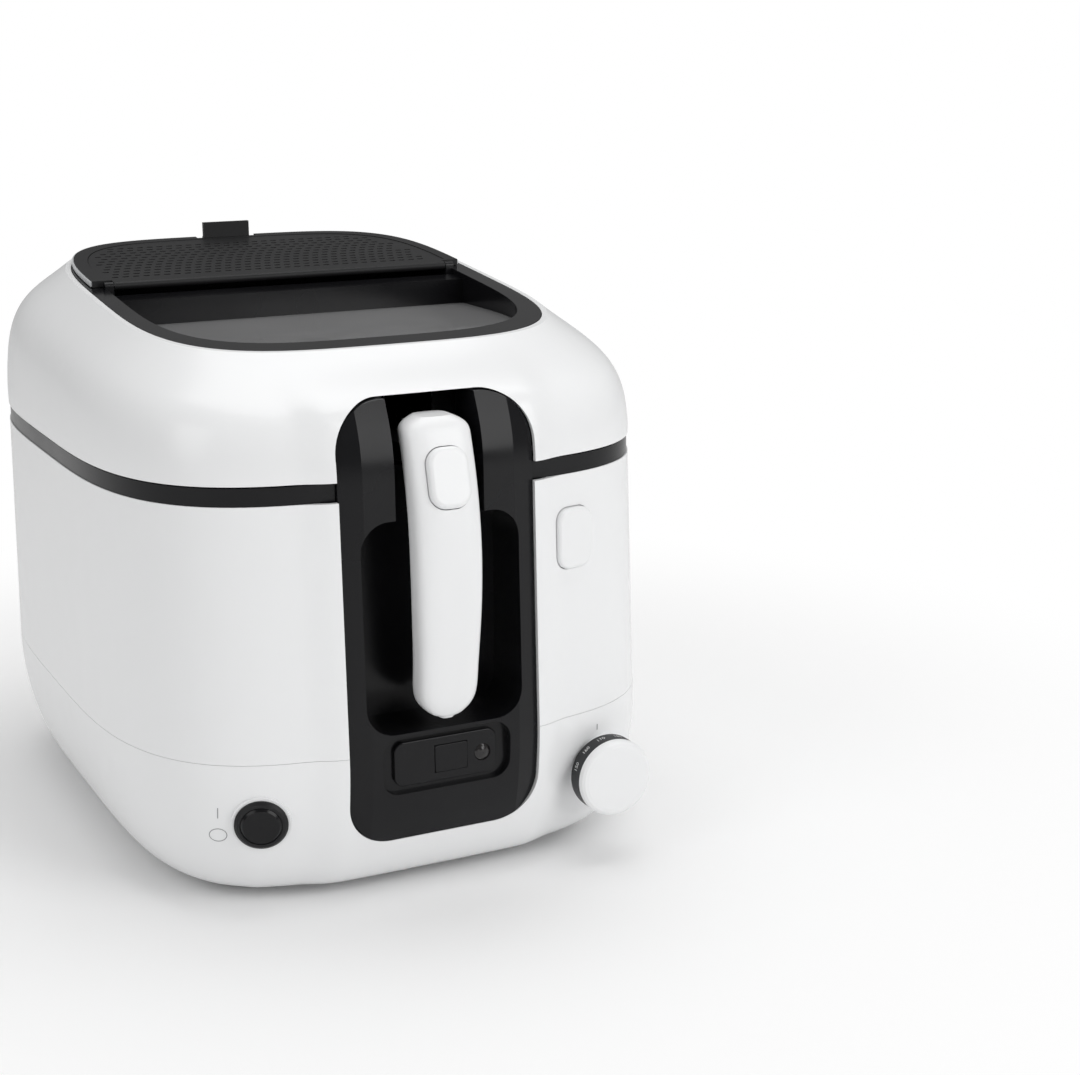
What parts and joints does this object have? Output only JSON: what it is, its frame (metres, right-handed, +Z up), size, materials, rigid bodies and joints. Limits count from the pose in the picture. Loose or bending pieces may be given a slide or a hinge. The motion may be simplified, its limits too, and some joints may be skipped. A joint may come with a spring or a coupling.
{
  "type": "deep fryer",
  "caption": "Countertop deep fryer with a white body, hinged lid with window and filter cover, lifting basket with folding handle, thermostat knob and push switches.",
  "frame": {"origin": "on the floor under the middle of the whole object's box", "axes": "+Z up, -Y to the front where the basket handle is, +X to the right seen from behind the front"},
  "size_m": [0.2846, 0.3808, 0.2982],
  "materials": {
    "white_shell": "smooth white, slightly glossy",
    "satin_black": "black, fine grain",
    "gloss_black": "black, glossy",
    "pale_trim": "light grey, satin",
    "steel": "bright, brushed",
    "window_glass": "clear, smooth",
    "rubber": "matte",
    "lamp_lens": "dark lens, smooth",
    "dark_coating": "dark non-stick coating",
    "copper_tube": "plain drawn tube",
    "filter_felt": "felt"
  },
  "bodies": {
    "base": {"base_shell": "white_shell", "body_casing": "white_shell", "rim_band": "gloss_black", "hinge_pin": "steel", "front_panel": "gloss_black", "timer_bay_insert": "gloss_black", "blank_tile": "gloss_black", "pilot_lamp_lens": "lamp_lens", "pilot_lamp": "lamp_lens", "base_plate": "satin_black", "feet": "rubber", "base_screws": "steel", "oil_bowl": "dark_coating", "heating_element": "steel", "heat_shield": "steel", "thermostat_body": "satin_black", "thermostat_bulb": "copper_tube", "thermal_cutout": "satin_black", "terminal_block": "satin_black", "cord_gland": "satin_black", "switch_bezel": "satin_black", "switch_body": "satin_black", "latch_guide": "satin_black", "latch_spring": "steel"},
    "lid": {"lid_shell": "white_shell", "lid_frame": "gloss_black", "cover_pin": "steel", "viewing_window": "window_glass", "window_seal": "rubber", "lid_liner": "steel", "lid_gasket": "rubber", "grease_filter": "filter_felt", "lid_hinge_arm": "steel", "lid_catch": "steel", "lid_screws": "steel"},
    "filter_cover_body": {"filter_cover": "satin_black", "filter_grille": "satin_black", "cover_side_trims": "pale_trim"},
    "basket": {"basket_mesh": "steel", "basket_rim": "steel", "basket_bracket": "satin_black", "handle_pin": "steel"},
    "handle": {"handle_front": "white_shell", "handle_rear": "white_shell", "handle_screws": "steel", "handle_button_spring": "steel"},
    "handle_press": {"handle_button": "white_shell"},
    "lid_release": {"lid_button": "white_shell", "latch_arm": "satin_black"},
    "power_press": {"switch_cap": "gloss_black"},
    "thermostat_knob": {"knob_ring": "satin_black", "knob_cap": "white_shell", "thermostat_shaft": "steel"}
  },
  "joints": [
    {"name": "lid_hinge", "type": "hinge", "parent": "base", "child": "lid", "pos_m": [0, 0.18538, 0.207], "axis": [-1, 0, 0], "range_deg": [0, 80]},
    {"name": "filter_cover_hinge", "type": "hinge", "parent": "lid", "child": "filter_cover_body", "pos_m": [0, 0.02828, 0.27729], "axis": [1, 0, 0], "range_deg": [0, 75]},
    {"name": "basket_lift", "type": "slide", "parent": "base", "child": "basket", "axis": [0, 0, 1], "range_m": [0, 0.004]},
    {"name": "handle_fold", "type": "hinge", "parent": "basket", "child": "handle", "pos_m": [0, -0.16352, 0.224], "axis": [-1, 0, 0], "range_deg": [0, 90]},
    {"name": "handle_button_press", "type": "slide", "parent": "handle", "child": "handle_press", "axis": [0, 0.9701, -0.2426], "range_m": [0, 0.0025], "stiffness_N_per_m": 300},
    {"name": "lid_button_press", "type": "slide", "parent": "base", "child": "lid_release", "axis": [-0.2144, 0.9767, 0], "range_m": [0, 0.0035], "stiffness_N_per_m": 300},
    {"name": "power_switch_press", "type": "slide", "parent": "base", "child": "power_press", "axis": [0.3486, 0.9221, 0.1678], "range_m": [0, 0.0025]},
    {"name": "thermostat_turn", "type": "hinge", "parent": "base", "child": "thermostat_knob", "pos_m": [0.089, -0.1682, 0.0445], "axis": [0, -1, 0], "range_deg": [0, 270]}
  ]
}
